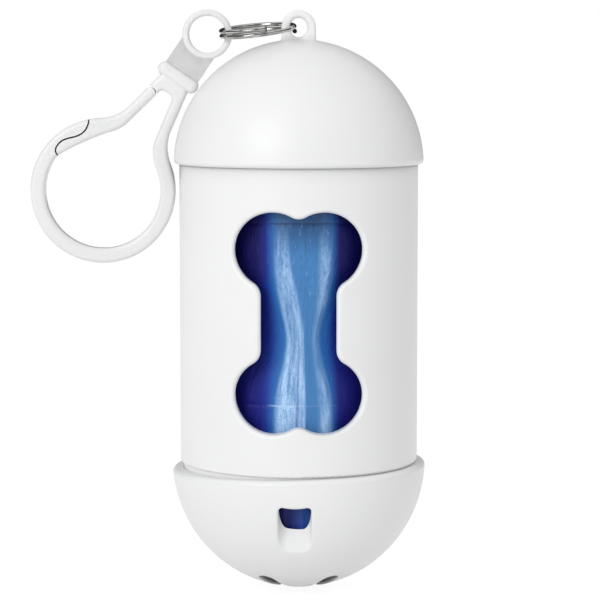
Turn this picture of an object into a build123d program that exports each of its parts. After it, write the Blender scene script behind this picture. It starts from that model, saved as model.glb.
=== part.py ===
from build123d import *
import os
from math import asin, atan2, cos, hypot, radians, sin, sqrt

# Dog poop bag dispenser: a screwless moulded capsule with a bone-shaped window, a pull-off cap with an
# eyelet, a bowl with a star-shaped bag slot, a split ring and a one-piece plastic snap hook.
# Millimetres. The capsule's axis is Z, the bowl's lowest point is the origin, the window faces -Y.

# ---------------------------------------------------------------- tube
TUBE_RADIUS = 19.0
TUBE_WALL = 2.0
TUBE_LENGTH = 47.45          # from the foot shoulder to the cap's seat
SHOULDER_ROUND = 0.35
NECK_STEP = 1.0              # the neck is this much smaller in radius than the tube
NECK_HEIGHT = 3.6
NECK_LEAD = 0.7              # chamfer that starts the cap
SPIGOT_STEP = 0.55           # the same for the spigot
SPIGOT_DEPTH = 3.5
BEAD_PROUD = 0.2             # snap beads stand this far off the neck and the spigot
BEAD_RADIUS = 0.4
NECK_BEAD_HEIGHT = 1.7       # above the cap's seat
SPIGOT_BEAD_DROP = 1.9       # below the foot shoulder

# ---------------------------------------------------------------- bone window
WINDOW_CENTRE = 23.7         # above the foot shoulder
WINDOW_HALF_HEIGHT = 17.05
WINDOW_HALF_WIDTH = 9.77
LOBE_RADIUS = 5.85
SHANK_HALF_WIDTH = 5.8
LOBE_BLEND = 2.2             # between the two lobes of one end
SHANK_BLEND = 2.4            # between a lobe and the shank
WINDOW_ROUND = 0.6           # softened outer edge

# ---------------------------------------------------------------- bowl
BOWL_PROUD = 1.3             # the bowl stands this far out from the tube
BOWL_DEPTH = 20.7            # half-axis of the bowl's outer ellipse
BOWL_WALL = 1.9
RIM_DROP = 0.15              # the tube's foot shoulder stands this far below the ellipse's centre
JOINT_GAP = 0.12             # between the tube's foot shoulder and the bowl's rim
SPIGOT_FIT = 0.1             # radial, spigot in bowl
RIM_ROUND = 0.7
RELIEF_START = 9.0           # x where the rim starts to fall away, for a thumbnail
RELIEF_DROP = 1.28           # how far it has fallen at the bowl's left side
GROOVE_X = -0.58
GROOVE_WIDTH = 5.05
GROOVE_DEPTH = 3.9           # from the bowl's widest place in to the groove's floor
GROOVE_CEILING = 16.25       # height of the groove's upper end
GROOVE_CORNER = 1.3
GROOVE_LIP_SAG = 0.35        # the ceiling bows down by this much in its middle
GROOVE_ROUND = 0.6
GROOVE_EDGE = 0.4            # softened edge where the groove meets the outside
STAR_ARMS = 6
STAR_ARM_HALF_WIDTH = 1.4
STAR_REACH = 11.2
STAR_EYE = 3.4               # radius of the slot's open middle
STAR_CORNER = 0.5

# ---------------------------------------------------------------- cap
CAP_PROUD = 0.9              # the cap stands this far out from the tube
DOME_DROP = 0.2              # the dome is a sphere centred this far below the lip
CAP_WALL = 1.3
CAP_FIT = 0.45               # radial, between the neck and the cap's lip
CAP_LIP_HEIGHT = 0.9
LIP_ROUND = 0.75
EYELET_RADIUS = 2.72
EYELET_RISE = 1.85           # eyelet's centre above the dome's top
EYELET_THICKNESS = 2.4
EYELET_HOLE_HALF_WIDTH = 1.4
EYELET_HOLE_HALF_HEIGHT = 1.53
EYELET_ROUND = 0.5
EYELET_ROOT = 0.9            # how deep the eyelet's foot runs into the dome
EYELET_FLARE = 0.4           # blend at its foot

# ---------------------------------------------------------------- split ring
WIRE_RADIUS = 0.36
RING_RADIUS = 5.8            # to the middle of the wire
RING_PITCH = 0.8
RING_TURNS = 1.79
RING_SEAT_X = -0.66          # where the wire lies in the eyelet
RING_SEAT_RISE = -0.185      # middle of the two strands there, above the eyelet's centre
RING_DROOP = 5.9             # degrees, left end low
RING_ROLL = 6.7              # degrees, near side low

# ---------------------------------------------------------------- snap hook
# Sizes along the hook are measured from the centre of its ring, sizes across it from its middle line.
RING_PLAY = 0.3              # between the wire and the inside of the hook's ring
HOOK_RISE = -1.08            # centre of the hook's ring, above the eyelet's centre
HOOK_CLEARANCE = 0.16        # between the collar's end and the dome
HOOK_RING_OUTER = 3.9
HOOK_RING_INNER = 2.92
HOOK_RING_DEPTH = 2.4
HOOK_RING_ROUND = 0.42
BLOCK_END = 7.6
BLOCK_WIDTH = 6.0
BLOCK_DEPTH = 1.8
COLLAR_AT = 8.25
COLLAR_THICKNESS = 2.25
COLLAR_LENGTH = 7.1
COLLAR_DEPTH = 3.6
COLLAR_ROUND = 1.0
STEM_START = 8.6
STEM_HALF_WIDTH = 2.4
STEM_FLARE = 0.19            # half-width gained per millimetre
CROTCH_AT = 11.2
CROTCH_HALF_WIDTH = 1.1
CROTCH_FLARE = 0.2
CROTCH_ROUND = 0.85
BOW_AT = 29.83
BOW_OFFSET = 0.2             # the bow stands this far towards the spine
BOW_OUTER = 11.52
BOW_INNER = 9.15
BOW_NECK_OUTER = 7.0         # blend between stem and bow
BOW_NECK_INNER = 6.0
HOOK_DEPTH = 3.2
HOOK_ROUND = 0.75
GATE_PIVOT_AT = 12.8
GATE_PIVOT_OFFSET = -2.3
GATE_KNUCKLE = 0.9
GATE_GAP = 0.25
GATE_LAP = 0.55              # the nose's back lip reaches this far behind the gate
LIP_DEPTH = 1.2              # thickness of that lip
GATE_ROOT = [(13.05, -1.02), (12.33, -4.75)]
GATE_SLIT = [
    (21.0, -8.6),
    (21.65, -7.8),
    (22.7, -7.35),
    (24.0, -7.4),
    (25.3, -8.15),
    (26.6, -9.25),
    (27.7, -9.6),
    (28.75, -9.35),
    (29.15, -8.6),
    (29.5, -7.9),
]
SLIT_STEPS = 12
GATE_BACK = [(27.0, -5.5), (20.0, -1.5)]
GATE_FRONT = (17.0, -7.5)
NOSE_FACE = [(20.43, -3.3), (25.13, -6.6), (29.73, -9.1)]
NOSE_BLEND = 2.5
NOSE_BACK = [(28.5, -10.0), (22.0, -6.8)]

# ---------------------------------------------------------------- bag roll
ROLL_PLAY = 1.5              # radial, between the roll and the tube's bore
ROLL_DIP = 0.8               # the waist's radius is this much smaller
ROLL_LENGTH = 57.0
ROLL_SEAT_GAP = 0.3
ROLL_EDGE = 0.5
CORE_RADIUS = 6.2
CORE_WALL = 1.0
CORE_GAP = 0.1
CORE_SHORTER = 0.4           # core stops this far inside each end of the film
TAIL_GAP = 0.35
TAIL_INSET = 3.1             # the bag's gathered top is this much smaller in radius than the roll
TAIL_TIP_RADIUS = 1.7
TAIL_THICKNESS = 0.9
TAIL_TIP_CLEARANCE = 0.9     # above the bowl's inner floor
TAIL_PLUG = 1.2              # solid film at the twisted tip

# ---------------------------------------------------------------- places worked out from the sizes
tube_bore = TUBE_RADIUS - TUBE_WALL
neck_radius = TUBE_RADIUS - NECK_STEP
spigot_radius = TUBE_RADIUS - SPIGOT_STEP
bowl_radius = TUBE_RADIUS + BOWL_PROUD
cap_radius = TUBE_RADIUS + CAP_PROUD
roll_radius = tube_bore - ROLL_PLAY
foot_z = BOWL_DEPTH - RIM_DROP
rim_z = foot_z - JOINT_GAP
seat_z = foot_z + TUBE_LENGTH
spigot_z = foot_z - SPIGOT_DEPTH
window_z = foot_z + WINDOW_CENTRE
dome_z = seat_z - DOME_DROP
apex_z = dome_z + cap_radius
eyelet_z = apex_z + EYELET_RISE
bowl_inner_radius = bowl_radius - BOWL_WALL
bowl_inner_depth = BOWL_DEPTH - BOWL_WALL
bowl_bore = spigot_radius + SPIGOT_FIT


def ellipse_height(radius, half_width, half_height):
    """Height of an ellipse above its centre line at a radius."""
    return half_height * sqrt(1 - (radius / half_width) ** 2)


def bowl_outside(point):
    """Nought on the bowl's outer ellipsoid, less inside it."""
    return hypot(point.X, point.Y) ** 2 / bowl_radius ** 2 + (point.Z / BOWL_DEPTH - 1) ** 2 - 1


def bowl_floor(radius):
    """Height of the bowl's inner wall at a radius."""
    return BOWL_DEPTH - ellipse_height(radius, bowl_inner_radius, bowl_inner_depth)


roll_z = bowl_floor(roll_radius + ROLL_SEAT_GAP)

os.makedirs("parts", exist_ok=True)


# ================================================================ dispenser tube
with BuildPart() as dispenser_tube:
    with BuildSketch(Plane.XZ):
        with BuildLine():
            Polyline(
                (tube_bore, spigot_z),
                (spigot_radius, spigot_z),
                (spigot_radius, foot_z),
                (TUBE_RADIUS, foot_z),
                (TUBE_RADIUS, seat_z),
                (neck_radius, seat_z),
                (neck_radius, seat_z + NECK_HEIGHT - NECK_LEAD),
                (neck_radius - NECK_LEAD, seat_z + NECK_HEIGHT),
                (tube_bore, seat_z + NECK_HEIGHT),
                close=True,
            )
        make_face()
        with Locations(
            (neck_radius + BEAD_PROUD - BEAD_RADIUS, seat_z + NECK_BEAD_HEIGHT),
            (spigot_radius + BEAD_PROUD - BEAD_RADIUS, foot_z - SPIGOT_BEAD_DROP),
        ):
            Circle(BEAD_RADIUS)
    revolve(axis=Axis.Z)
    foot_edge = dispenser_tube.edges().filter_by(GeomType.CIRCLE).filter_by(
        lambda edge: abs(edge.radius - TUBE_RADIUS) < 0.01 and abs(edge.center().Z - foot_z) < 0.01
    )
    fillet(foot_edge, SHOULDER_ROUND)

    # The bone: four lobes and a shank, cut straight through the front wall.
    with BuildSketch(Plane.XZ.offset(tube_bore / 2)) as bone:
        lobe_x = WINDOW_HALF_WIDTH - LOBE_RADIUS
        lobe_rise = WINDOW_HALF_HEIGHT - LOBE_RADIUS
        with Locations((0, window_z)):
            Rectangle(2 * SHANK_HALF_WIDTH, 2 * lobe_rise)
            with GridLocations(2 * lobe_x, 2 * lobe_rise, 2, 2):
                Circle(LOBE_RADIUS)
        middle_notches = bone.vertices().filter_by(lambda v: abs(v.X) < 0.01)
        fillet(middle_notches, LOBE_BLEND)
        waist_notches = bone.vertices().filter_by(
            lambda v: abs(abs(v.X) - SHANK_HALF_WIDTH) < 0.01 and abs(v.Y - window_z) < lobe_rise
        )
        fillet(waist_notches, SHANK_BLEND)
    extrude(amount=TUBE_RADIUS, mode=Mode.SUBTRACT)
    window_edges = dispenser_tube.edges().filter_by(
        lambda edge: edge.center().Y < -tube_bore * 0.8
        and abs(edge.center().Z - window_z) < WINDOW_HALF_HEIGHT + 0.1
        and abs((edge @ 0.5).X ** 2 + (edge @ 0.5).Y ** 2 - TUBE_RADIUS ** 2) < 0.5
    )
    fillet(window_edges, WINDOW_ROUND)

dispenser_tube.part.label = "dispenser_tube"
export_step(dispenser_tube.part, "parts/dispenser_tube.step")


# ================================================================ bottom bowl
# The thumb groove is drawn straight up from below, so it breaks through the wall only near its top.
with BuildPart() as groove_cut:
    groove_half = GROOVE_WIDTH / 2
    with BuildSketch(Plane.XZ.offset(bowl_radius - GROOVE_DEPTH)) as groove_outline:
        with BuildLine():
            Line((GROOVE_X - groove_half, 0), (GROOVE_X + groove_half, 0))
            Line((GROOVE_X + groove_half, 0), (GROOVE_X + groove_half, GROOVE_CEILING))
            ThreePointArc(
                (GROOVE_X + groove_half, GROOVE_CEILING),
                (GROOVE_X, GROOVE_CEILING - GROOVE_LIP_SAG),
                (GROOVE_X - groove_half, GROOVE_CEILING),
            )
            Line((GROOVE_X - groove_half, GROOVE_CEILING), (GROOVE_X - groove_half, 0))
        make_face()
        fillet(groove_outline.vertices().group_by(Axis.Y)[-1], GROOVE_ROUND)
    extrude(amount=bowl_radius)
    floor_edges = groove_cut.faces().sort_by(Axis.Y)[-1].edges().filter_by(Axis.Z)
    fillet(floor_edges, GROOVE_CORNER)

with BuildPart() as bottom_bowl:
    with BuildSketch(Plane.XZ):
        with BuildLine():
            EllipticalCenterArc((0, BOWL_DEPTH), bowl_radius, BOWL_DEPTH, start_angle=270, arc_size=90)
            Line((bowl_radius, BOWL_DEPTH), (bowl_inner_radius, BOWL_DEPTH))
            EllipticalCenterArc(
                (0, BOWL_DEPTH), bowl_inner_radius, bowl_inner_depth, start_angle=270, arc_size=90
            )
            Line((0, BOWL_WALL), (0, 0))
        make_face()
    revolve(axis=Axis.Z)
    # Bore for the tube's spigot, with the ledge that its end sits on.
    with BuildSketch(Plane.XY.offset(spigot_z)):
        Circle(bowl_bore)
    extrude(amount=SPIGOT_DEPTH, mode=Mode.SUBTRACT)
    # Level the rim, then let it fall away to the left.
    with BuildSketch(Plane.XZ.offset(-1.5 * bowl_radius)):
        with BuildLine():
            fall_start = (RELIEF_START, rim_z)
            fall_end = (-1.1 * bowl_radius, rim_z - RELIEF_DROP)
            TangentArc(fall_start, fall_end, tangent=(-1, 0))
            Polyline(
                fall_end,
                (-1.1 * bowl_radius, BOWL_DEPTH + 1),
                (1.1 * bowl_radius, BOWL_DEPTH + 1),
                (1.1 * bowl_radius, rim_z),
                fall_start,
            )
        make_face()
    extrude(amount=3 * bowl_radius, mode=Mode.SUBTRACT)
    # Groove for the spigot's snap bead.
    with BuildSketch(Plane.XZ):
        with Locations((spigot_radius + BEAD_PROUD - BEAD_RADIUS, foot_z - SPIGOT_BEAD_DROP)):
            Circle(BEAD_RADIUS + SPIGOT_FIT)
    revolve(axis=Axis.Z, mode=Mode.SUBTRACT)
    rim_edges = bottom_bowl.edges().filter_by(
        lambda edge: (edge @ 0.5).Z > rim_z - RELIEF_DROP - 0.2
        and sqrt((edge @ 0.5).X ** 2 + (edge @ 0.5).Y ** 2) > bowl_radius - 0.3
    )
    fillet(rim_edges, RIM_ROUND)
    add(groove_cut.part, mode=Mode.SUBTRACT)
    groove_edges = bottom_bowl.edges().filter_by(
        lambda edge: (edge @ 0.5).Y < GROOVE_DEPTH - bowl_radius
        and abs((edge @ 0.5).X - GROOVE_X) < groove_half + 0.1
        and abs(bowl_outside(edge @ 0.5)) < 0.001
    )
    fillet(groove_edges, GROOVE_EDGE)
    with BuildSketch() as star:
        with PolarLocations(STAR_REACH / 2, STAR_ARMS):
            SlotOverall(STAR_REACH, 2 * STAR_ARM_HALF_WIDTH)
        Circle(STAR_EYE)
        eye_corners = star.vertices().filter_by(
            lambda v: abs(sqrt(v.X ** 2 + v.Y ** 2) - STAR_EYE) < 0.05
        )
        fillet(eye_corners, STAR_CORNER)
    extrude(amount=BOWL_DEPTH / 2, mode=Mode.SUBTRACT)

bottom_bowl.part.label = "bottom_bowl"
export_step(bottom_bowl.part, "parts/bottom_bowl.step")


# ================================================================ top cap
with BuildPart() as eyelet:
    with BuildSketch(Plane.XZ):
        with Locations((0, eyelet_z)):
            Circle(EYELET_RADIUS)
        with Locations((0, (eyelet_z + apex_z - EYELET_ROOT) / 2)):
            Rectangle(2 * EYELET_RADIUS, eyelet_z - apex_z + EYELET_ROOT)
        with Locations((0, eyelet_z)):
            Ellipse(EYELET_HOLE_HALF_WIDTH, EYELET_HOLE_HALF_HEIGHT, mode=Mode.SUBTRACT)
    extrude(amount=EYELET_THICKNESS / 2, both=True)
    face_edges = eyelet.faces().filter_by(Axis.Y).edges().filter_by(
        lambda edge: edge.center().Z > apex_z - EYELET_ROOT / 2
    )
    fillet(face_edges, EYELET_ROUND)

with BuildPart() as top_cap:
    with BuildSketch(Plane.XZ) as cap_wall:
        cap_bore = cap_radius - CAP_WALL
        with Locations((0, dome_z)):
            Circle(cap_radius)
            Circle(cap_bore, mode=Mode.SUBTRACT)
        with Locations((0, seat_z)):
            Rectangle(cap_radius, cap_radius, align=(Align.MIN, Align.MIN), mode=Mode.INTERSECT)
        lip_corner = cap_wall.vertices().sort_by(Axis.X)[-1]
        fillet(lip_corner, LIP_ROUND)
        lip_bore = neck_radius + CAP_FIT
        with Locations((lip_bore, seat_z)):
            Rectangle(cap_radius - CAP_WALL / 2 - lip_bore, CAP_LIP_HEIGHT, align=(Align.MIN, Align.MIN))
    revolve(axis=Axis.Z)
    add(eyelet.part)
    foot_edges = top_cap.edges().filter_by(
        lambda edge: abs(hypot((edge @ 0.5).X, (edge @ 0.5).Y, (edge @ 0.5).Z - dome_z) - cap_radius) < 0.02
        and (edge @ 0.5).Z > apex_z - 1
    )
    fillet(foot_edges, EYELET_FLARE)

top_cap.part.label = "top_cap"
export_step(top_cap.part, "parts/top_cap.step")


# ================================================================ split ring
# Nearly two turns of wire. It starts at the right, in the eyelet, and its upper end is on the near side.
droop = radians(RING_DROOP)
roll = radians(RING_ROLL)
ring_seat = Vector(RING_SEAT_X, 0, eyelet_z + RING_SEAT_RISE)
ring_right = Vector(cos(droop), 0, sin(droop))
ring_up = Vector(-sin(droop) * cos(roll), -sin(roll), cos(droop) * cos(roll))
ring_base = ring_seat - ring_right * RING_RADIUS - ring_up * (RING_PITCH / 2)

ring_plane = Plane(origin=ring_base, x_dir=ring_right, z_dir=ring_up)
level_turns = Helix(pitch=RING_PITCH, height=RING_PITCH * RING_TURNS, radius=RING_RADIUS)
ring_path = level_turns.moved(ring_plane.location).edges()[0]

with BuildPart() as split_ring:
    with BuildSketch(Plane(origin=ring_path @ 0, z_dir=ring_path % 0)):
        Circle(WIRE_RADIUS)
    sweep(path=ring_path, is_frenet=True)

split_ring.part.label = "split_ring"
export_step(split_ring.part, "parts/split_ring.step")


# ================================================================ snap hook and its gate
# The hook hangs on the split ring's left side, and leans out until its collar just clears the dome.
wire_left_x = RING_SEAT_X - 2 * RING_RADIUS * cos(droop)
hook_x = wire_left_x + WIRE_RADIUS + RING_PLAY - HOOK_RING_INNER
hook_z = eyelet_z + HOOK_RISE
hook_stand_off = cap_radius + COLLAR_LENGTH / 2 + HOOK_CLEARANCE
hook_turn = asin(hook_stand_off / hypot(hook_x, hook_z - dome_z)) - atan2(-hook_x, hook_z - dome_z)
hook_plane = Plane(
    origin=(hook_x, 0, hook_z),
    x_dir=(-sin(hook_turn), 0, -cos(hook_turn)),
    z_dir=(0, -1, 0),
)

# Fork, spine, bow, nose and gate arm, drawn as one closed loop.
with BuildPart() as clip_loop:
    with BuildSketch(hook_plane) as loop_outside:
        fork_end = STEM_HALF_WIDTH + STEM_FLARE * (BOW_AT - STEM_START)
        with BuildLine():
            Polyline(
                (STEM_START, -STEM_HALF_WIDTH),
                (BOW_AT, -fork_end),
                (BOW_AT, fork_end),
                (STEM_START, STEM_HALF_WIDTH),
                close=True,
            )
        make_face()
        with Locations((BOW_AT, BOW_OFFSET)):
            Circle(BOW_OUTER)
        neck_corners = loop_outside.vertices().filter_by(lambda v: STEM_START + 1 < v.X < BOW_AT)
        fillet(neck_corners, BOW_NECK_OUTER)
    extrude(amount=HOOK_DEPTH / 2, both=True)
    with BuildSketch(hook_plane) as loop_inside:
        crotch_end = CROTCH_HALF_WIDTH + CROTCH_FLARE * (BOW_AT - CROTCH_AT)
        with BuildLine():
            Polyline(
                (CROTCH_AT, -CROTCH_HALF_WIDTH),
                (BOW_AT, -crotch_end),
                (BOW_AT, crotch_end),
                (CROTCH_AT, CROTCH_HALF_WIDTH),
                close=True,
            )
        make_face()
        with Locations((BOW_AT, BOW_OFFSET)):
            Circle(BOW_INNER)
        bow_corners = loop_inside.vertices().filter_by(lambda v: CROTCH_AT + 1 < v.X < BOW_AT)
        fillet(bow_corners, BOW_NECK_INNER)
        crotch_corners = loop_inside.vertices().filter_by(lambda v: v.X < CROTCH_AT + 0.01)
        fillet(crotch_corners, CROTCH_ROUND)
        with BuildLine():
            ThreePointArc(*NOSE_FACE)
            Polyline(NOSE_FACE[-1], *NOSE_BACK, NOSE_FACE[0])
        make_face(mode=Mode.SUBTRACT)
        nose_corners = loop_inside.vertices().filter_by(lambda v: v.Y < NOSE_FACE[0][1])
        fillet(nose_corners, NOSE_BLEND)
    extrude(amount=HOOK_DEPTH, both=True, mode=Mode.SUBTRACT)
    loop_edges = clip_loop.faces().filter_by(Axis.Y).edges()
    fillet(loop_edges, HOOK_ROUND)

gate_slit = Spline(*GATE_SLIT)


def beside_slit(distance):
    """The slit's line, moved by a distance towards the hook's side."""
    line = []
    for step in range(SLIT_STEPS + 1):
        run = gate_slit % (step / SLIT_STEPS)
        line.append(gate_slit @ (step / SLIT_STEPS) + Vector(run.Y, -run.X) * distance)
    return line


# The slit is stepped in depth: a lip on the back of the nose reaches behind the gate's end.
# Level 0 is the middle of the hook's depth, positive levels are nearer to the front.
lip_level = LIP_DEPTH - HOOK_DEPTH / 2
gate_line = beside_slit(0)
gate_lap_line = beside_slit(-GATE_LAP - GATE_GAP)

with BuildPart() as gate_space:
    with BuildSketch(hook_plane.offset(lip_level + GATE_GAP)):
        with BuildLine():
            Spline(*gate_line)
            Polyline(gate_line[-1], *GATE_BACK, *GATE_ROOT, GATE_FRONT, gate_line[0])
        make_face()
        with Locations((GATE_PIVOT_AT, GATE_PIVOT_OFFSET)):
            Circle(GATE_KNUCKLE)
    extrude(amount=HOOK_DEPTH)
    with BuildSketch(hook_plane.offset(lip_level + GATE_GAP)):
        with BuildLine():
            Spline(*gate_lap_line)
            Polyline(gate_lap_line[-1], *GATE_BACK, *GATE_ROOT, GATE_FRONT, gate_lap_line[0])
        make_face()
        with Locations((GATE_PIVOT_AT, GATE_PIVOT_OFFSET)):
            Circle(GATE_KNUCKLE)
    extrude(amount=-HOOK_DEPTH)

with BuildPart() as hook_gate:
    add(clip_loop.part)
    add(gate_space.part, mode=Mode.INTERSECT)

hook_gate.part.label = "hook_gate"
export_step(hook_gate.part, "parts/hook_gate.step")

with BuildPart() as clip_ring:
    with BuildSketch(hook_plane):
        Circle(HOOK_RING_OUTER)
        Circle(HOOK_RING_INNER, mode=Mode.SUBTRACT)
    extrude(amount=HOOK_RING_DEPTH / 2, both=True)
    fillet(clip_ring.edges().filter_by(GeomType.CIRCLE), HOOK_RING_ROUND)

with BuildPart() as clip_collar:
    with BuildSketch(hook_plane):
        with Locations((COLLAR_AT, 0)):
            Rectangle(COLLAR_THICKNESS, COLLAR_LENGTH)
    extrude(amount=COLLAR_DEPTH / 2, both=True)
    fillet(clip_collar.edges(), COLLAR_ROUND)

# The hook's side of the slit runs beside the gate's side, one gap away.
hook_root = [(along - GATE_GAP, across) for along, across in GATE_ROOT]
hook_line = beside_slit(GATE_GAP)
hook_lip_line = beside_slit(-GATE_LAP)

with BuildPart() as slit_space:
    with BuildSketch(hook_plane.offset(lip_level)):
        with BuildLine():
            Spline(*hook_line)
            Polyline(hook_line[-1], *GATE_BACK, *hook_root, GATE_FRONT, hook_line[0])
        make_face()
        with Locations((GATE_PIVOT_AT, GATE_PIVOT_OFFSET)):
            Circle(GATE_KNUCKLE + GATE_GAP)
    extrude(amount=HOOK_DEPTH)
    with BuildSketch(hook_plane.offset(lip_level)):
        with BuildLine():
            Spline(*hook_lip_line)
            Polyline(hook_lip_line[-1], *GATE_BACK, *hook_root, GATE_FRONT, hook_lip_line[0])
        make_face()
        with Locations((GATE_PIVOT_AT, GATE_PIVOT_OFFSET)):
            Circle(GATE_KNUCKLE + GATE_GAP)
    extrude(amount=-HOOK_DEPTH)

with BuildPart() as snap_hook:
    add(clip_loop.part)
    add(slit_space.part, mode=Mode.SUBTRACT)
    with BuildSketch(hook_plane):
        with Locations((BLOCK_END / 2, 0)):
            Rectangle(BLOCK_END, BLOCK_WIDTH)
        Circle((HOOK_RING_OUTER + HOOK_RING_INNER) / 2, mode=Mode.SUBTRACT)
    extrude(amount=BLOCK_DEPTH / 2, both=True)
    add(clip_ring.part)
    add(clip_collar.part)

snap_hook.part.label = "snap_hook"
export_step(snap_hook.part, "parts/snap_hook.step")


# ================================================================ bag roll on its cardboard core
with BuildPart() as roll_core:
    with BuildSketch(Plane.XY.offset(roll_z + CORE_SHORTER)):
        Circle(CORE_RADIUS)
        Circle(CORE_RADIUS - CORE_WALL, mode=Mode.SUBTRACT)
    extrude(amount=ROLL_LENGTH - 2 * CORE_SHORTER)

roll_core.part.label = "roll_core"
export_step(roll_core.part, "parts/roll_core.step")

with BuildPart() as bag_roll:
    with BuildSketch(Plane.XZ) as film:
        roll_bore = CORE_RADIUS + CORE_GAP
        roll_top_z = roll_z + ROLL_LENGTH
        with BuildLine():
            Polyline(
                (roll_radius, roll_z),
                (roll_bore, roll_z),
                (roll_bore, roll_top_z),
                (roll_radius, roll_top_z),
            )
            ThreePointArc(
                (roll_radius, roll_top_z),
                (roll_radius - ROLL_DIP, roll_z + ROLL_LENGTH / 2),
                (roll_radius, roll_z),
            )
        make_face()
        roll_corners = film.vertices().group_by(Axis.X)[-1]
        fillet(roll_corners, ROLL_EDGE)
    revolve(axis=Axis.Z)

bag_roll.part.label = "bag_roll"
export_step(bag_roll.part, "parts/bag_roll.step")


# ================================================================ first bag's end, led down to the star slot
with BuildPart() as leading_bag:
    with BuildSketch(Plane.XZ):
        tail_z = roll_z - TAIL_GAP
        tip_z = bowl_floor(TAIL_TIP_RADIUS) + TAIL_TIP_CLEARANCE
        tail_top_radius = roll_radius - TAIL_INSET
        with BuildLine():
            Polyline(
                (0, tip_z),
                (TAIL_TIP_RADIUS, tip_z),
                (tail_top_radius, tail_z),
                (tail_top_radius - TAIL_THICKNESS, tail_z),
                (0, tip_z + TAIL_PLUG),
                close=True,
            )
        make_face()
    revolve(axis=Axis.Z)

leading_bag.part.label = "leading_bag"
export_step(leading_bag.part, "parts/leading_bag.step")
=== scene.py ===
from math import cos, pi, radians, sin

import bpy
import numpy as np
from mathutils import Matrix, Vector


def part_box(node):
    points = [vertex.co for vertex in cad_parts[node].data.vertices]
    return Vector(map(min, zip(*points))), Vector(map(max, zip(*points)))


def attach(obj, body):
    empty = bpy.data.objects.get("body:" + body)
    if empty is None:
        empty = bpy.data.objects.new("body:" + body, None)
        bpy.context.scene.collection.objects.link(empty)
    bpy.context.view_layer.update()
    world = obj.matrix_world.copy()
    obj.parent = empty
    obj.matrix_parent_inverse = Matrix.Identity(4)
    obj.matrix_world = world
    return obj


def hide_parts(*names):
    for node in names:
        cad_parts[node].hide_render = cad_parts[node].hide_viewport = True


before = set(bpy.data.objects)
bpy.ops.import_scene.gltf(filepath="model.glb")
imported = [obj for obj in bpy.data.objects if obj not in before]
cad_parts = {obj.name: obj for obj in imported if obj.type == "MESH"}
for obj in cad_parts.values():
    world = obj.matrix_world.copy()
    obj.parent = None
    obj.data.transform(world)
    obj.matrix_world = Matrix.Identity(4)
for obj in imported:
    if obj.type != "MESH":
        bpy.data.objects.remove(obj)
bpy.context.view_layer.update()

MM = 0.001


# ---------------------------------------------------------------- camera
# Fitted to the photograph by the ellipses of the tube's foot, the cap's lip and the bowl.
CAMERA_AT = (0.000207, -0.37285, 0.08282)
CAMERA_LENS = 140.37
CAMERA_LOOKS_DOWN = 5.61     # degrees

camera_data = bpy.data.cameras.new("camera")
camera_data.lens = CAMERA_LENS
camera_data.sensor_width = 36.0
camera_data.clip_start = 0.01
camera_data.clip_end = 20.0
camera = bpy.data.objects.new("camera", camera_data)
camera.location = CAMERA_AT
camera.rotation_euler = (radians(90 - CAMERA_LOOKS_DOWN), 0, 0)
bpy.context.scene.collection.objects.link(camera)
bpy.context.scene.camera = camera


# ---------------------------------------------------------------- shader helpers
class Value:
    """A shader socket. Python's arithmetic on it adds Math nodes."""

    def __init__(self, nodes, socket):
        self.nodes = nodes
        self.socket = socket

    def math(self, operation, *others):
        return self.nodes.math(operation, self, *others)

    def __add__(self, other):
        return self.math("ADD", other)

    def __sub__(self, other):
        return self.math("SUBTRACT", other)

    def __rsub__(self, other):
        return self.nodes.math("SUBTRACT", other, self)

    def __mul__(self, other):
        return self.math("MULTIPLY", other)

    __radd__ = __add__
    __rmul__ = __mul__

    def __truediv__(self, other):
        return self.math("DIVIDE", other)

    def __rtruediv__(self, other):
        return self.nodes.math("DIVIDE", other, self)

    def __abs__(self):
        return self.math("ABSOLUTE")

    def ramp(self, low, high, out_low=0.0, out_high=1.0):
        """Smooth step, from out_low where the value is low to out_high where it is high."""
        return self.nodes.node(
            "ShaderNodeMapRange", 0, {"interpolation_type": "SMOOTHSTEP"},
            Value=self, From_Min=low, From_Max=high, To_Min=out_low, To_Max=out_high,
        )

    def line(self, centre, wide, narrow):
        """One near a centre, falling to nought between narrow and wide away from it."""
        return abs(self - centre).ramp(wide, narrow)


class Nodes:
    """A node tree, and the one way to add a node to it."""

    def __init__(self, tree):
        self.tree = tree

    def node(self, kind, output=0, settings=None, **sockets):
        """Add a node, and give back its output, or a list of them where output names several.

        The settings are set first. A socket goes by its name, with _ for a space, or by its place, as i0,
        i1 and so on. A Value is linked to it, and anything else is set on it."""
        node = self.tree.nodes.new(kind)
        for name, setting in (settings or {}).items():
            setattr(node, name, setting)
        for name, item in sockets.items():
            slot = node.inputs[int(name[1:]) if name[1:].isdigit() else name.replace("_", " ")]
            if isinstance(item, Value):
                self.tree.links.new(item.socket, slot)
            else:
                slot.default_value = item
        if isinstance(output, tuple):
            return [Value(self, node.outputs[name]) for name in output]
        return Value(self, node.outputs[output])

    def math(self, operation, *items):
        sockets = {f"i{place}": item for place, item in enumerate(items)}
        return self.node("ShaderNodeMath", 0, {"operation": operation}, **sockets)

    def seen_by(self, *rays):
        """One for the kinds of ray that are named, and nought for any other."""
        found = self.node("ShaderNodeLightPath", rays)
        seen = found[0]
        for ray in found[1:]:
            seen = seen.math("MAXIMUM", ray)
        return seen


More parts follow.
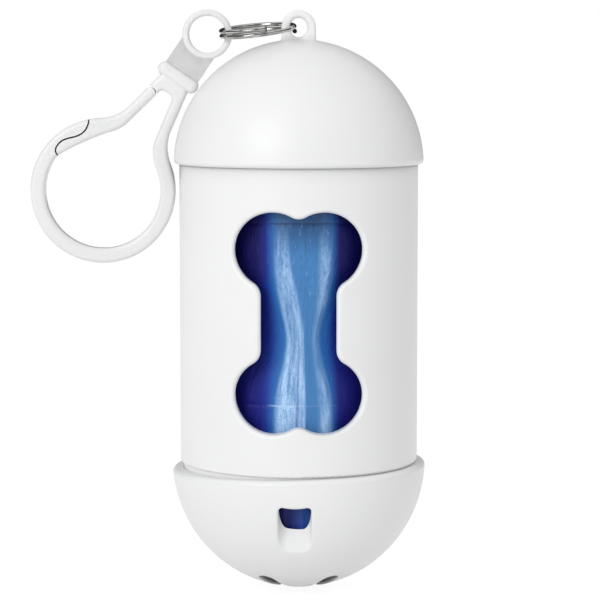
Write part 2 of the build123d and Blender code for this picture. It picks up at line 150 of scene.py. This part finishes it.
class Material(Nodes):
    """A material with one Principled shader, and short ways to add to it."""

    def __init__(self, name, **settings):
        self.data = bpy.data.materials.new(name)
        self.data.use_nodes = True
        super().__init__(self.data.node_tree)
        self.shader = self.tree.nodes["Principled BSDF"]
        for socket, value in settings.items():
            self.shader.inputs[socket.replace("_", " ")].default_value = value

    def place(self, x=1.0, y=1.0, z=1.0):
        """Object coordinates, stretched."""
        spot = self.node("ShaderNodeTexCoord", "Object")
        return self.node("ShaderNodeMapping", Vector=spot, Scale=(x, y, z))

    def axes(self):
        return self.node("ShaderNodeSeparateXYZ", (0, 1, 2), i0=self.node("ShaderNodeTexCoord", "Object"))

    def noise(self, scale, detail, roughness, where=None, distortion=0.0):
        return self.node(
            "ShaderNodeTexNoise", Vector=where or self.place(),
            Scale=scale, Detail=detail, Roughness=roughness, Distortion=distortion,
        )

    def open_air(self, reach, alone=True):
        """One where nothing stands within reach, less in corners. Not alone, other pieces count too."""
        settings = {"samples": 8, "only_local": alone}
        return self.node("ShaderNodeAmbientOcclusion", 1, settings, Distance=reach)

    def mix(self, factor, a, b):
        """Colour from a to b. Each is a colour or an earlier mix."""
        return self.node("ShaderNodeMix", 2, {"data_type": "RGBA"}, i0=factor, i6=a, i7=b)

    def bump(self, height, distance, strength):
        return self.node("ShaderNodeBump", Height=height, Distance=distance, Strength=strength)

    def feed(self, **sockets):
        for name, value in sockets.items():
            self.tree.links.new(value.socket, self.shader.inputs[name.replace("_", " ")])


def distance_from_axis(x, y):
    return (x * x + y * y).math("SQRT")


def grey(level, blue=0.0):
    """A grey, with that much more blue in it."""
    return (level, level, level + blue, 1)


# ---------------------------------------------------------------- white plastic
CAPSULE_WHITE = ((0.868, 0.87, 0.873, 1), (0.85, 0.852, 0.856, 1))
CLIP_WHITE = ((0.83, 0.832, 0.835, 1), (0.795, 0.797, 0.8, 1))
# Greys of painted shade: in corners, under the cap's lip, in the star slot, on the clip's block and in its
# slit.
CORNER_SHADE_GREY = grey(0.36, 0.01)
TUBE_CORNER_SHADE_GREY = grey(0.79, 0.005)
LIP_SHADE_GREY = grey(0.34, 0.005)
SLOT_SHADE_DARK = grey(0.01, 0.002)
SLOT_SHADE_GREY = grey(0.42, 0.01)
BLOCK_SHADE_GREY = grey(0.66, 0.005)
BLOCK_DEEP_SHADE_GREY = grey(0.55, 0.005)
SLIT_SHADE_DARK = grey(0.03, 0.002)
CAPSULE_ROUGHNESS = 0.4
CLIP_ROUGHNESS = 0.33


def moulded_plastic(name, colour, shade, roughness, reach, alone=True, corner_shade=CORNER_SHADE_GREY,
                    grain_bump=0.35, wear=0.12):
    """Injection-moulded white plastic: faint flow in the colour, fine satin texture, light handling marks.

    Its corners are greyed with painted shade, within reach of each other, or of the pieces round it where
    it isn't alone."""
    plastic = Material(name, Specular_IOR_Level=0.45, IOR=1.49)
    flow = plastic.noise(38.0, 2.0, 0.5).ramp(0.3, 0.7)
    base = plastic.mix(flow, shade, colour)
    # Painted shade: where open air is hidden, the colour goes towards the corner grey.
    plastic.base = plastic.mix(plastic.open_air(reach, alone).ramp(0.1, 0.95), corner_shade, base)
    scuffs = plastic.noise(1.0, 3.0, 0.65, plastic.place(900, 900, 60)).ramp(0.62, 0.8)
    grain = plastic.noise(2600.0, 2.0, 0.6)
    sink_marks = plastic.noise(160.0, 1.0, 0.4) * 2.0
    plastic.feed(
        Base_Color=plastic.base,
        Roughness=grain * (wear * 0.66) + scuffs * wear + (roughness - 0.05),
        Normal=plastic.bump(grain + sink_marks, 0.012 * MM, grain_bump),
    )
    return plastic


cap_plastic = moulded_plastic("cap_plastic", *CAPSULE_WHITE, CAPSULE_ROUGHNESS, reach=1.2 * MM)
tube_plastic = moulded_plastic(
    "tube_plastic", *CAPSULE_WHITE, CAPSULE_ROUGHNESS, reach=2.8 * MM, alone=False, corner_shade=TUBE_CORNER_SHADE_GREY
)
bowl_plastic = moulded_plastic("bowl_plastic", *CAPSULE_WHITE, CAPSULE_ROUGHNESS, reach=1.4 * MM)
clip_plastic = moulded_plastic(
    "clip_plastic", *CLIP_WHITE, CLIP_ROUGHNESS, reach=1.3 * MM, grain_bump=0.1, wear=0.04
)

# Painted shade: the tube's outer wall is greyed under the cap's lip, as far as the lip hides the open air
# from it.
TUBE_RADIUS = 19.0 * MM
CAP_SEAT_Z = 68.0 * MM
tx, ty, tz = tube_plastic.axes()
outer_wall = distance_from_axis(tx, ty).ramp(TUBE_RADIUS - 0.4 * MM, TUBE_RADIUS - 0.1 * MM)
near_lip = tz.ramp(CAP_SEAT_Z - 4.0 * MM, CAP_SEAT_Z - 1.0 * MM)
below_seat = tz.ramp(CAP_SEAT_Z + 0.02 * MM, CAP_SEAT_Z - 0.04 * MM)
lip_hides = tube_plastic.open_air(7.0 * MM, alone=False).ramp(1.0, 0.6)
lip_shade = lip_hides * (outer_wall * near_lip * below_seat)
tube_plastic.feed(Base_Color=tube_plastic.mix(lip_shade, tube_plastic.base, LIP_SHADE_GREY))

# Painted shade: the walls of the bowl's star slot are darkened, most towards its middle.
BOWL_RADIUS = 20.3 * MM
BOWL_DEPTH = 20.7 * MM
SLOT_REACH = 11.3 * MM
bx, by, bz = bowl_plastic.axes()
from_axis = distance_from_axis(bx, by)
part = from_axis * (1 / BOWL_RADIUS)
wall_depth = bz - (1.0 - (1.0 - part * part).math("SQRT")) * BOWL_DEPTH
in_wall = wall_depth.ramp(0.12 * MM, 0.5 * MM) * wall_depth.ramp(2.1 * MM, 1.8 * MM)
slot_wall = in_wall * from_axis.ramp(SLOT_REACH + 0.5 * MM, SLOT_REACH)
slot_shade = bowl_plastic.mix(from_axis.ramp(5.0 * MM, 11.2 * MM), SLOT_SHADE_DARK, SLOT_SHADE_GREY)
bowl_plastic.feed(Base_Color=bowl_plastic.mix(slot_wall, bowl_plastic.base, slot_shade))

# Painted shade: the clip's flat block, between its ring and its collar, is greyed, most next to the ring,
# with random patches.
HOOK_RING_X = -14.459 * MM
HOOK_RING_Z = 88.47 * MM
HOOK_TURN = radians(34.41)
HOOK_RING_OUTER = 3.9 * MM
BLOCK_END = 7.15 * MM
hx, _, hz = clip_plastic.axes()
hx = hx - HOOK_RING_X
hz = hz - HOOK_RING_Z
along = hx * -sin(HOOK_TURN) - hz * cos(HOOK_TURN)
from_ring = distance_from_axis(hx, hz)
block = from_ring.ramp(HOOK_RING_OUTER - 0.05 * MM, HOOK_RING_OUTER + 0.1 * MM)
block = block * along.ramp(BLOCK_END + 0.1 * MM, BLOCK_END) * along.ramp(0.0, 0.5 * MM)
near_ring = from_ring.ramp(HOOK_RING_OUTER + 1.4 * MM, HOOK_RING_OUTER)
random_patches = clip_plastic.noise(700.0, 3.0, 0.6).ramp(0.3, 0.7)
block_shade = random_patches * 0.5 + near_ring * 0.5
painted_block_shade = clip_plastic.mix(block_shade, BLOCK_SHADE_GREY, BLOCK_DEEP_SHADE_GREY)
clip_base = clip_plastic.mix(block, clip_plastic.base, painted_block_shade)

# Painted shade: the two faces of the gate's slit, where they close on each other, are darkened.
SLIT_FROM = 19.5 * MM
in_slit = clip_plastic.open_air(0.5 * MM, alone=False).ramp(0.55, 0.25)
slit = in_slit * along.ramp(SLIT_FROM, SLIT_FROM + 0.5 * MM)
clip_plastic.feed(Base_Color=clip_plastic.mix(slit, clip_base, SLIT_SHADE_DARK))


# ---------------------------------------------------------------- ring wire and cardboard
# The wire is nickelled and partly tarnished. Its two sheared ends are darkened nearly to black with
# painted shade.
BRIGHT_NICKEL = (0.62, 0.615, 0.61, 1)
TARNISHED_NICKEL = (0.3, 0.295, 0.29, 1)
WIRE_ENDS = ((-0.619 * MM, 0.047 * MM, 88.97 * MM), (-5.032 * MM, -5.7 * MM, 89.285 * MM))
steel = Material("ring_steel", Metallic=1.0)
tarnish = steel.noise(300.0, 3.0, 0.6).ramp(0.4, 0.62)
nickel = steel.mix(tarnish, BRIGHT_NICKEL, TARNISHED_NICKEL)
sheared = 0.0
for wire_end in WIRE_ENDS:
    far = steel.node("ShaderNodeVectorMath", 1, {"operation": "DISTANCE"}, i0=steel.place(), i1=wire_end)
    sheared = far.ramp(0.5 * MM, 0.36 * MM) + sheared
steel.feed(
    Base_Color=steel.mix(sheared, nickel, grey(0.03)),
    Roughness=tarnish * 0.08 + sheared * 0.5 + 0.07,
    Normal=steel.bump(steel.noise(900.0, 1.0, 0.4), 0.01 * MM, 0.25),
)

# The core is wound from a strip of card, whose seam runs round it as a spiral.
SPIRAL_PITCH = 18.0 * MM
CARD_DARK = (0.36, 0.29, 0.21, 1)
CARD_LIGHT = (0.56, 0.48, 0.37, 1)
card = Material("cardboard")
cx, cy, cz = card.axes()
turn = cy.math("ARCTAN2", cx) / (2 * pi)
spiral = (cz * (1 / SPIRAL_PITCH) + turn).math("FRACT")
seam = spiral.ramp(0.0, 0.03) * spiral.ramp(1.0, 0.97)
fibres = card.noise(1.0, 4.0, 0.6, card.place(2400, 2400, 500))
card.feed(
    Base_Color=card.mix(fibres, CARD_DARK, CARD_LIGHT),
    Roughness=fibres * 0.15 + 0.78,
    Normal=card.bump(seam * 1.5 + fibres * 0.4, 0.12 * MM, 0.8),
)


# ---------------------------------------------------------------- the wound film's looks
# The bags are wound flat round the core. The outermost one is gathered into a strip down the front, which
# is drawn in at the waist. STRIP_NARROW and STRIP_WIDE are its half-widths. A crease keeps its share of
# the half-width all along the roll: -1 is the strip's left edge, and 1 its right edge.
# The strip's paler blue and its pale gathers are partly the film's own and partly painted highlight; the
# dark sides beside it are partly painted shade.
WAIST_Z = 41.3 * MM
STRIP_MID = 0.56 * MM
STRIP_NARROW = 2.8 * MM
STRIP_WIDE = 4.8 * MM
STRIP_RUN = 6.5 * MM
STRIP_FULL = 0.85             # share of the half-width that the strip fills before its edge softens
EDGE_WIDTH = 1.8 * MM         # width of that soft edge where the strip is widest
EDGE_GROWTH = 0.6             # how much wider the edge gets, for each width that the strip loses
TOP_FOLD_Z = 59.4 * MM
LOW_FOLD_Z = 31.2 * MM
LEFT_GATHER = -0.98
CENTRE_CREASE = 0.02
RIGHT_GATHER = 0.76
GROOVE_CREASE = -0.17
TAIL_Z = (22.0 * MM, 18.0 * MM)
ROLL_END_Z = (67.4 * MM, 67.7 * MM)

DEEP_NAVY = (0.0055, 0.005, 0.105, 1)
LOW_NAVY = (0.011, 0.013, 0.2, 1)
INNER_BLUE = (0.01, 0.03, 0.33, 1)
LOW_INNER_BLUE = (0.014, 0.05, 0.38, 1)
SHADED_STRIP = (0.032, 0.095, 0.225, 1)
STRIP_BLUE = (0.068, 0.235, 0.52, 1)
STRIP_EDGE_BLUE = (0.024, 0.17, 0.5, 1)
PALE_BLUE = (0.44, 0.67, 0.97, 1)
FOLD_PALE_BLUE = (0.45, 0.66, 0.9, 1)
VEIN_BLUE = (0.035, 0.14, 0.42, 1)
MOTTLE_BLUE = (0.035, 0.12, 0.3, 1)
FOLD_SHADE_BLUE = (0.02, 0.05, 0.14, 1)
GROOVE_BLUE = (0.1, 0.13, 0.4, 1)
TAIL_NAVY = (0.01, 0.011, 0.16, 1)
TAIL_LIT_BLUE = (0.032, 0.105, 0.44, 1)
END_NAVY = (0.009, 0.02, 0.17, 1)
END_BLUE = (0.03, 0.1, 0.36, 1)


def strip_half_width(z):
    """Half-width of the gathered strip. z is an array or a shader value."""
    t = (z - WAIST_Z) * (1 / STRIP_RUN)
    fall = (t * t * -1.0).math("EXPONENT") if isinstance(t, Value) else np.exp(-t * t)
    return fall * (STRIP_NARROW - STRIP_WIDE) + STRIP_WIDE


film = Material("bag_film", Specular_IOR_Level=0.22, IOR=1.5)
fx, fy, fz = film.axes()
half = strip_half_width(fz)
share = (fx - STRIP_MID) / half
away = abs(share)
# Beside the strip the film rises softly out of the dark, over more width at the waist.
soft_edge = (STRIP_WIDE - half) * EDGE_GROWTH + EDGE_WIDTH
strip = ((away - STRIP_FULL) * half / soft_edge).ramp(1.0, 0.0)


def film_place(stretch, sheet):
    """A place on the film that follows the strip's creases. Each sheet has a pattern of its own."""
    return film.node("ShaderNodeCombineXYZ", X=share, Y=fz * stretch, Z=sheet)


streak = film.noise(3.4, 4.0, 0.6, film_place(30.0, fy.math("SIGN")), 0.3)
fine = film.noise(11.0, 3.0, 0.6, film_place(26.0, 2.0), 0.3)
crease = film.noise(9.0, 3.0, 0.6, film_place(60.0, 0.0), 0.8)
crinkle = film.noise(1300.0, 3.0, 0.6, film.place(1, 1, 0.7))
veins = film.noise(7.0, 3.0, 0.65, film_place(95.0, 5.0), 0.6).line(0.5, 0.03, 0.004)

# Pale gathers, partly painted highlight: a wide one on the left that leans to the middle, one on the
# right, a thin crease between.
# Painted shade dims the strip under the top fold, and painted light brightens the gathers lower down.
top_dim = fz.ramp(59.5 * MM, 53.5 * MM, 0.12, 1.0)
painted_low_light = fz.ramp(42.0 * MM, 33.0 * MM, 0.8, 1.2)
left_end = fz.ramp(56.5 * MM, 42.0 * MM, -0.42, 0.0)
left_gather = (share - LEFT_GATHER).ramp(0.0, 0.25) * (left_end - share).ramp(-0.05, 0.12)
right_strength = fz.ramp(44.5 * MM, 48.0 * MM, 0.3, 0.75) + fz.ramp(38.0 * MM, 34.0 * MM, 0.0, 0.35)
right_gather = share.line(RIGHT_GATHER, 0.3, 0.05) * right_strength
centre_crease = share.line(CENTRE_CREASE, 0.13, 0.03) * fz.ramp(46.0 * MM, 40.0 * MM)
gather = left_gather.math("MAXIMUM", right_gather).math("MAXIMUM", centre_crease * 0.75)
streaks = streak.ramp(0.36, 0.6) * 0.5 + fine.ramp(0.4, 0.62) * 0.35 + 0.3
pale = streaks * gather * top_dim * painted_low_light + crease.ramp(0.6, 0.74) * strip * 0.22

# The dark sides, partly painted shade and lighter towards the bottom, and the strip's own blue, then the
# gathers and the smaller marks over them.
low_sides = fz.ramp(47.0 * MM, 35.0 * MM)
outer_side = film.mix(low_sides, DEEP_NAVY, LOW_NAVY)
inner_side = film.mix(low_sides, INNER_BLUE, LOW_INNER_BLUE)
sides = film.mix(abs(fx).ramp(6.8 * MM, 3.6 * MM), outer_side, inner_side)
middle = film.mix(top_dim, SHADED_STRIP, STRIP_BLUE)
middle = film.mix(away.ramp(0.6, 1.15), middle, STRIP_EDGE_BLUE)
film_base = film.mix(strip * (streak * 0.3 + 0.8).math("MINIMUM", 1.0), sides, middle)
mottle = film.noise(1500.0, 3.0, 0.65, film.place(1, 1, 0.7)).ramp(0.48, 0.66)
mottle = mottle * fz.ramp(45.0 * MM, 51.0 * MM) * strip
# Painted shade in the crease of the top fold.
top_fold = fz.line(TOP_FOLD_Z, 0.24 * MM, 0.05 * MM) * strip
low_fold = fz.line(LOW_FOLD_Z, 0.22 * MM, 0.04 * MM) * strip
groove_crease = share.line(GROOVE_CREASE, 0.07, 0.01) * fz.ramp(44.0 * MM, 37.0 * MM)
for strength, tone in (
    (pale.math("MINIMUM", 1.0), PALE_BLUE),
    (veins * strip * (gather * 0.35 + 0.12), VEIN_BLUE),
    (mottle * 0.3, MOTTLE_BLUE),
    (top_fold * 0.6, FOLD_SHADE_BLUE),
    (low_fold * share.ramp(0.1, -0.1, 0.1, 0.6), FOLD_PALE_BLUE),
    (groove_crease * 0.5, GROOVE_BLUE),
):
    film_base = film.mix(strength, film_base, tone)

# The first bag's end, under the roll, is plain, and painted light makes it paler to the right.
tail_painted_light = film.mix(fx.ramp(-2.2 * MM, 1.6 * MM), TAIL_NAVY, TAIL_LIT_BLUE)
film_base = film.mix(fz.ramp(*TAIL_Z), film_base, tail_painted_light)
# The roll's upper end shows the edges of the wound layers.
layer_place = film.node(
    "ShaderNodeCombineXYZ", X=distance_from_axis(fx, fy) * 5200.0, Y=fx * 60.0, Z=fy * 60.0
)
layers = film.noise(1.0, 2.0, 0.6, layer_place).ramp(0.35, 0.65)
film_base = film.mix(fz.ramp(*ROLL_END_Z), film_base, film.mix(layers, END_NAVY, END_BLUE))
film.feed(
    Base_Color=film_base,
    Roughness=crinkle * 0.12 + (1.0 - strip) * 0.12 + 0.24,
    Normal=film.bump(crease * 0.8 + streak * 0.8 + fine * 0.5 + crinkle * 0.25 * strip, 0.25 * MM, 0.5),
)


# ---------------------------------------------------------------- the wound film's shape
def film_piece(name, rows, body):
    """A closed tube of film, from rings of points that lie one after the other."""
    count, columns = len(rows), len(rows[0])
    faces = []
    for row in range(count):
        a, b = row * columns, (row + 1) % count * columns
        for k in range(columns):
            n = (k + 1) % columns
            faces.append((a + k, a + n, b + n, b + k))
    data = bpy.data.meshes.new(name)
    data.from_pydata(np.concatenate(rows).tolist(), [], faces)
    data.shade_smooth()
    data.materials.append(film.data)
    piece = bpy.data.objects.new(name, data)
    bpy.context.scene.collection.objects.link(piece)
    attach(piece, body)
    return piece


def ring(radius, angles, z):
    """Points round the axis, the first of them at the front. radius may vary round the ring."""
    return np.stack([radius * np.sin(angles), -radius * np.cos(angles), np.full(len(angles), z)], 1)


def wave(u, z, seed, scale_u, scale_z):
    """Smooth repeatable unevenness between about -1 and 1, from a few fixed waves."""
    total = 0.0
    for k in range(1, 6):
        a = seed * 1.7 + k * 2.399
        drift = 1.3 * np.sin(z * scale_z * 0.5 * k + 2.1 * a)
        total = total + np.sin(u * scale_u * (0.6 + 0.55 * k) + a + drift) / k
    return total / 1.6


# The roll has its columns closer together at the front, which the window shows.
FRONT_ANGLE = 1.05
FRONT_COLUMNS = 231
BACK_COLUMNS = 90
LEVELS = 230
END_MARGIN = 0.6 * MM
FLAT_HALF_WIDTH = 15.0 * MM   # half-width of the roll that the creases are laid out on
WAIST_DIP = 0.9 * MM
STRIP_LIFT = 0.22 * MM
UNEVENNESS = 0.06 * MM
RIDGE_BEND = 0.05             # how far a ridge wanders, as a share of the half-width
RIDGE_SWELL = 0.3             # how much its height comes and goes
FILM_SLACK = 0.35 * MM        # the film lies this far inside the solid roll, where nothing lifts it
FOLD_WIDTH = 0.22 * MM
FOLD_DEPTH = 0.12 * MM
# Ridges of the gathered strip: the share of the half-width that each runs at, its width as a share too,
# and its height.
RIDGES = (
    (-0.8, 0.09, 0.14 * MM),
    (-0.55, 0.08, 0.2 * MM),
    (-0.32, 0.06, 0.15 * MM),
    (0.02, 0.06, 0.14 * MM),
    (0.78, 0.12, 0.18 * MM),
)

roll_lo, roll_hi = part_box("bag_roll")
roll_radius = roll_hi[0]
front = np.linspace(-FRONT_ANGLE, FRONT_ANGLE, FRONT_COLUMNS)
back = np.linspace(FRONT_ANGLE, 2 * pi - FRONT_ANGLE, BACK_COLUMNS)[1:-1]
around = np.concatenate([front, back])
heights = np.linspace(roll_lo[2] + END_MARGIN, roll_hi[2] - END_MARGIN, LEVELS)
theta, level = np.meshgrid(around, heights)
facing = np.clip(np.cos(theta), 0, 1)
u = (np.sin(theta) * FLAT_HALF_WIDTH - STRIP_MID) / strip_half_width(level)
waist = np.exp(-(((level - WAIST_Z) / STRIP_RUN) ** 2))
on_strip = 1 / (1 + np.exp((np.abs(u) - 1.0) * 16))
lift = on_strip * facing * STRIP_LIFT
for at, width, height in RIDGES:
    bend = RIDGE_BEND * np.sin(level * 260 + at * 9)
    swell = 1 - RIDGE_SWELL + RIDGE_SWELL * np.sin(level * 700 + at * 20)
    lift = lift + np.exp(-(((u - at - bend) / width) ** 2)) * height * facing * swell
radius = roll_radius - FILM_SLACK - WAIST_DIP * waist + lift
radius = radius + wave(theta * 9, level, 1.0, 1.0, 90.0) * UNEVENNESS
radius = radius + wave(u * facing * 5, level, 2.0, 1.3, 160.0) * UNEVENNESS * on_strip
for fold_z in (TOP_FOLD_Z, LOW_FOLD_Z):
    radius = radius - np.exp(-(((level - fold_z) / FOLD_WIDTH) ** 2)) * FOLD_DEPTH
radius = np.minimum(radius, roll_radius)
wound = [ring(r, around, z) for r, z in zip(radius, heights)]

# The ends show the wound edges: shallow rings down to the core.
ROLL_BORE = 6.3 * MM
END_STEP = 0.4 * MM
END_DIP = 0.22 * MM
END_RINGS = 34


def roll_end(edge_radius, z, inwards):
    """Rings from the roll's edge to its bore. inwards is the way into the roll, 1 or -1."""
    rings = []
    for k, f in enumerate(np.linspace(0, 1, END_RINGS)):
        dip = END_DIP * (0.5 + 0.5 * np.sin(k * 2.4)) * (0 < k < END_RINGS - 1)
        rings.append(ring((edge_radius - END_STEP) * (1 - f) + ROLL_BORE * f, around, z + inwards * dip))
    return rings


lower_end = roll_end(radius[0], roll_lo[2], 1)
upper_end = roll_end(radius[-1], roll_hi[2], -1)
film_roll = film_piece("film_roll", lower_end[::-1] + wound + upper_end, "roll")
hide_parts("bag_roll")

# First bag's end: pleated film drawn together under the roll.
TIP_RADIUS = 1.7 * MM
GATHER_RADIUS = 12.1 * MM
PLEAT_DEPTH = 1.1 * MM
PLEAT_POINTS = 216
TWIST = 1.05                  # radians that the pleats turn through, down to the tip
FILM_LAYER = 0.18 * MM
TAIL_ROWS = 42
BUNCHED_UP_TO = 0.12          # share of the way up, from where the film is one thin layer

tail_lo, tail_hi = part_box("leading_bag")
pleats = np.linspace(0, 2 * pi, PLEAT_POINTS + 1)[:-1]
outer_rows, inner_rows = [], []
for f in np.linspace(0, 1, TAIL_ROWS):
    r = TIP_RADIUS + (GATHER_RADIUS - TIP_RADIUS) * f ** 0.9
    z = tail_lo[2] + (tail_hi[2] - tail_lo[2]) * f
    swing = pleats + TWIST * (1 - f) ** 2
    # Seventeen big pleats, small ones that lean across them, and five broad swells.
    ripple = np.abs(np.sin(swing * 8.5)) * 0.6
    ripple = ripple + np.sin(swing * 23 + 4 * f) * 0.2 + np.sin(swing * 5 + 1) * 0.3
    depth = PLEAT_DEPTH * min(1, 0.25 + f) * (0.6 + 0.4 * f)
    outer = np.minimum(r - depth * 0.5 + ripple * depth * 0.55, r + 0.3 * MM)
    inner = outer - FILM_LAYER if f > BUNCHED_UP_TO else outer * 0.6
    outer_rows.append(ring(outer, pleats, z))
    inner_rows.append(ring(inner, pleats, z + 0.08 * MM))
film_tail = film_piece("film_tail", outer_rows + inner_rows[::-1], "dispenser")
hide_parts("leading_bag")


# ---------------------------------------------------------------- materials on the CAD nodes
for node, look in (
    ("dispenser_tube", tube_plastic),
    ("bottom_bowl", bowl_plastic),
    ("top_cap", cap_plastic),
    ("snap_hook", clip_plastic),
    ("hook_gate", clip_plastic),
    ("split_ring", steel),
    ("roll_core", card),
):
    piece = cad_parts[node]
    piece.data.materials.clear()
    piece.data.materials.append(look.data)


# ---------------------------------------------------------------- floor, background and light
FLOOR_HALF = 3.0
FLOOR_DROP = 0.4 * MM
FLOOR_SHADOW = 0.14           # share of the floor's look that takes shadow; the rest is white
AMBIENT = 0.675               # what lights the pieces from all round
ROOM_DIM = 0.04
CEILING_FROM, CEILING_FULL = 0.4, 0.8

floor_look = Material("floor", Base_Color=grey(0.88), Roughness=0.9)
glow = floor_look.node("ShaderNodeEmission", Color=grey(1), Strength=1.1)
seen = floor_look.seen_by("Is Camera Ray", "Is Glossy Ray", "Is Transmission Ray")
paper = Value(floor_look, floor_look.shader.outputs[0])
surface = floor_look.node("ShaderNodeMixShader", i0=seen * (1 - FLOOR_SHADOW), i1=paper, i2=glow)
floor_look.tree.links.new(surface.socket, floor_look.tree.nodes["Material Output"].inputs["Surface"])

sheet = bpy.data.meshes.new("floor")
corners = [(-FLOOR_HALF, -FLOOR_HALF, 0), (FLOOR_HALF, -FLOOR_HALF, 0),
           (FLOOR_HALF, FLOOR_HALF, 0), (-FLOOR_HALF, FLOOR_HALF, 0)]
sheet.from_pydata(corners, [], [(0, 1, 2, 3)])
sheet.materials.append(floor_look.data)
floor = bpy.data.objects.new("floor", sheet)
floor.location = (0, 0, -FLOOR_DROP)
bpy.context.scene.collection.objects.link(floor)

# Shiny surfaces see a dim room at eye level under a bright ceiling.
world = bpy.data.worlds.new("studio")
bpy.context.scene.world = world
world.use_nodes = True
studio = Nodes(world.node_tree)
sky = world.node_tree.nodes["Background"]
sky.inputs["Color"].default_value = grey(1)
upwards = studio.node("ShaderNodeSeparateXYZ", 2, i0=studio.node("ShaderNodeTexCoord", "Generated"))
ceiling = upwards.ramp(CEILING_FROM, CEILING_FULL, ROOM_DIM, 1.0)
room = studio.node("ShaderNodeLightPath", "Is Glossy Ray") * (ceiling - AMBIENT) + AMBIENT
seen = studio.seen_by("Is Camera Ray", "Is Transmission Ray")
world.node_tree.links.new((seen * (1.0 - room) + room).socket, sky.inputs["Strength"])


def lamp(name, at, target, power, size=0.5):
    data = bpy.data.lights.new(name, "AREA")
    data.shape = "DISK"
    data.size = size
    data.energy = power
    thing = bpy.data.objects.new(name, data)
    thing.location = at
    direction = Vector(target) - Vector(at)
    thing.rotation_euler = direction.to_track_quat("-Z", "Y").to_euler()
    bpy.context.scene.collection.objects.link(thing)


lamp("key", (-0.45, -0.72, 0.42), (0, 0, 0.04), 3.1)
lamp("fill", (0.6, -0.5, 0.2), (0, 0, 0.05), 0.35)

bpy.context.scene.view_settings.view_transform = "Standard"
